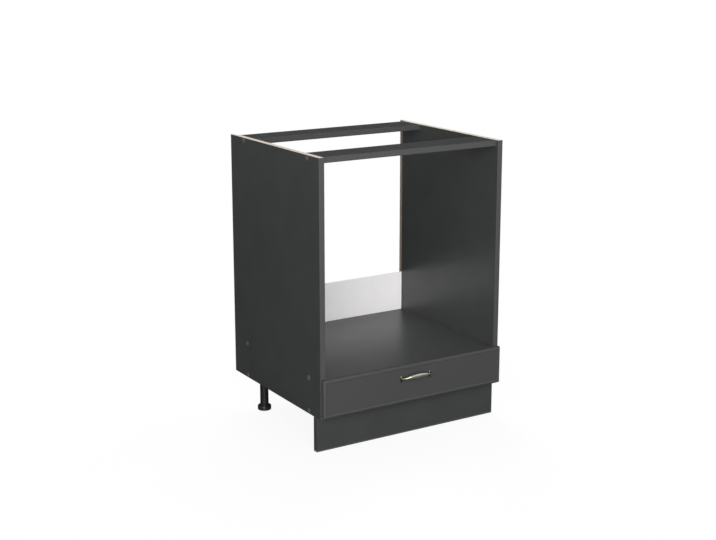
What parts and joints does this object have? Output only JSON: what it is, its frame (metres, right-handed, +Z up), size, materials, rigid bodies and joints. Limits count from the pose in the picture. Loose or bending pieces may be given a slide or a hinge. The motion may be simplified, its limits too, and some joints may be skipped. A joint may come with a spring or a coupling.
{
  "type": "oven housing unit",
  "caption": "Open-backed kitchen base unit that houses a built-in oven above a shallow drawer, on adjustable legs behind a plinth panel.",
  "frame": {"origin": "on the floor, below the middle of the unit's outline, handle included", "axes": "+X to the right as seen from the front, +Y to the rear, +Z up"},
  "size_m": [0.6, 0.552, 0.82],
  "materials": {
    "carcass_board": "anthracite melamine-faced chipboard, satin",
    "edge_band": "anthracite edge band, satin",
    "plinth_board": "anthracite foil, satin",
    "front_lacquer": "anthracite matt foil on profiled fibreboard",
    "back_board": "white-faced thin fibreboard",
    "drawer_board": "light grey foil-wrapped chipboard",
    "beech": "plain fluted beech",
    "black_plastic": "black moulded plastic",
    "roller_nylon": "off-white moulded rollers",
    "runner_steel": "off-white powder-coated folded steel",
    "zinc_steel": "zinc-plated",
    "aged_brass": "aged brass plating, darkened in the hollows",
    "bumper_rubber": "translucent soft dots"
  },
  "bodies": {
    "carcass": {"left_side_panel": "carcass_board", "right_side_panel": "carcass_board", "bottom_panel": "carcass_board", "oven_shelf": "carcass_board", "front_stretcher": "carcass_board", "rear_stretcher": "carcass_board", "side_edging": "edge_band", "cross_edging": "edge_band", "back_board": "back_board", "connecting_screws": "zinc_steel", "carcass_dowels": "beech", "plinth_panel": "plinth_board", "plinth_clip_left": "black_plastic", "plinth_clip_right": "black_plastic", "cabinet_runner_left": "runner_steel", "cabinet_runner_right": "runner_steel", "front_roller_axles": "zinc_steel", "leg_plate_front_left": "black_plastic", "leg_tube_front_left": "black_plastic", "leg_plate_front_right": "black_plastic", "leg_tube_front_right": "black_plastic", "leg_plate_rear_left": "black_plastic", "leg_tube_rear_left": "black_plastic", "leg_plate_rear_right": "black_plastic", "leg_tube_rear_right": "black_plastic"},
    "drawer": {"drawer_front": "front_lacquer", "drawer_side_left": "drawer_board", "drawer_side_right": "drawer_board", "drawer_back": "drawer_board", "drawer_bottom": "back_board", "drawer_runner_left": "runner_steel", "drawer_runner_right": "runner_steel", "rear_roller_axles": "zinc_steel", "front_bumpers": "bumper_rubber", "cam_locks": "zinc_steel", "cam_bolts": "zinc_steel", "drawer_dowels": "beech", "bow_handle": "aged_brass", "handle_screws": "zinc_steel"},
    "leg_foot_front_left": {"leg_foot_front_left": "black_plastic"},
    "leg_foot_front_right": {"leg_foot_front_right": "black_plastic"},
    "leg_foot_rear_left": {"leg_foot_rear_left": "black_plastic"},
    "leg_foot_rear_right": {"leg_foot_rear_right": "black_plastic"},
    "front_roller_left": {"front_roller_left": "roller_nylon"},
    "front_roller_right": {"front_roller_right": "roller_nylon"},
    "rear_roller_left": {"rear_roller_left": "roller_nylon"},
    "rear_roller_right": {"rear_roller_right": "roller_nylon"}
  },
  "joints": [
    {"name": "drawer_slide", "type": "slide", "parent": "carcass", "child": "drawer", "axis": [0, -1, 0], "range_m": [0, 0.34]},
    {"name": "front_roller_left_turn", "type": "hinge", "parent": "carcass", "child": "front_roller_left", "pos_m": [-0.279, -0.22, 0.1365], "axis": [1, 0, 0], "range_deg": [0, 2170]},
    {"name": "rear_roller_left_turn", "type": "hinge", "parent": "drawer", "child": "rear_roller_left", "pos_m": [-0.2774, 0.203, 0.1365], "axis": [1, 0, 0], "range_deg": [0, 2170]},
    {"name": "front_roller_right_turn", "type": "hinge", "parent": "carcass", "child": "front_roller_right", "pos_m": [0.279, -0.22, 0.1365], "axis": [1, 0, 0], "range_deg": [0, 2170]},
    {"name": "rear_roller_right_turn", "type": "hinge", "parent": "drawer", "child": "rear_roller_right", "pos_m": [0.2774, 0.203, 0.1365], "axis": [1, 0, 0], "range_deg": [0, 2170]},
    {"name": "leg_height_front_left", "type": "slide", "parent": "carcass", "child": "leg_foot_front_left", "axis": [0, 0, -1], "range_m": [0, 0.025]},
    {"name": "leg_height_front_right", "type": "slide", "parent": "carcass", "child": "leg_foot_front_right", "axis": [0, 0, -1], "range_m": [0, 0.025]},
    {"name": "leg_height_rear_left", "type": "slide", "parent": "carcass", "child": "leg_foot_rear_left", "axis": [0, 0, -1], "range_m": [0, 0.025]},
    {"name": "leg_height_rear_right", "type": "slide", "parent": "carcass", "child": "leg_foot_rear_right", "axis": [0, 0, -1], "range_m": [0, 0.025]}
  ],
  "couplings": [
    {"joint": "front_roller_left_turn", "follows": "drawer_slide", "rad_per_m": 111.11},
    {"joint": "rear_roller_left_turn", "follows": "drawer_slide", "rad_per_m": 111.11},
    {"joint": "front_roller_right_turn", "follows": "drawer_slide", "rad_per_m": 111.11},
    {"joint": "rear_roller_right_turn", "follows": "drawer_slide", "rad_per_m": 111.11}
  ]
}
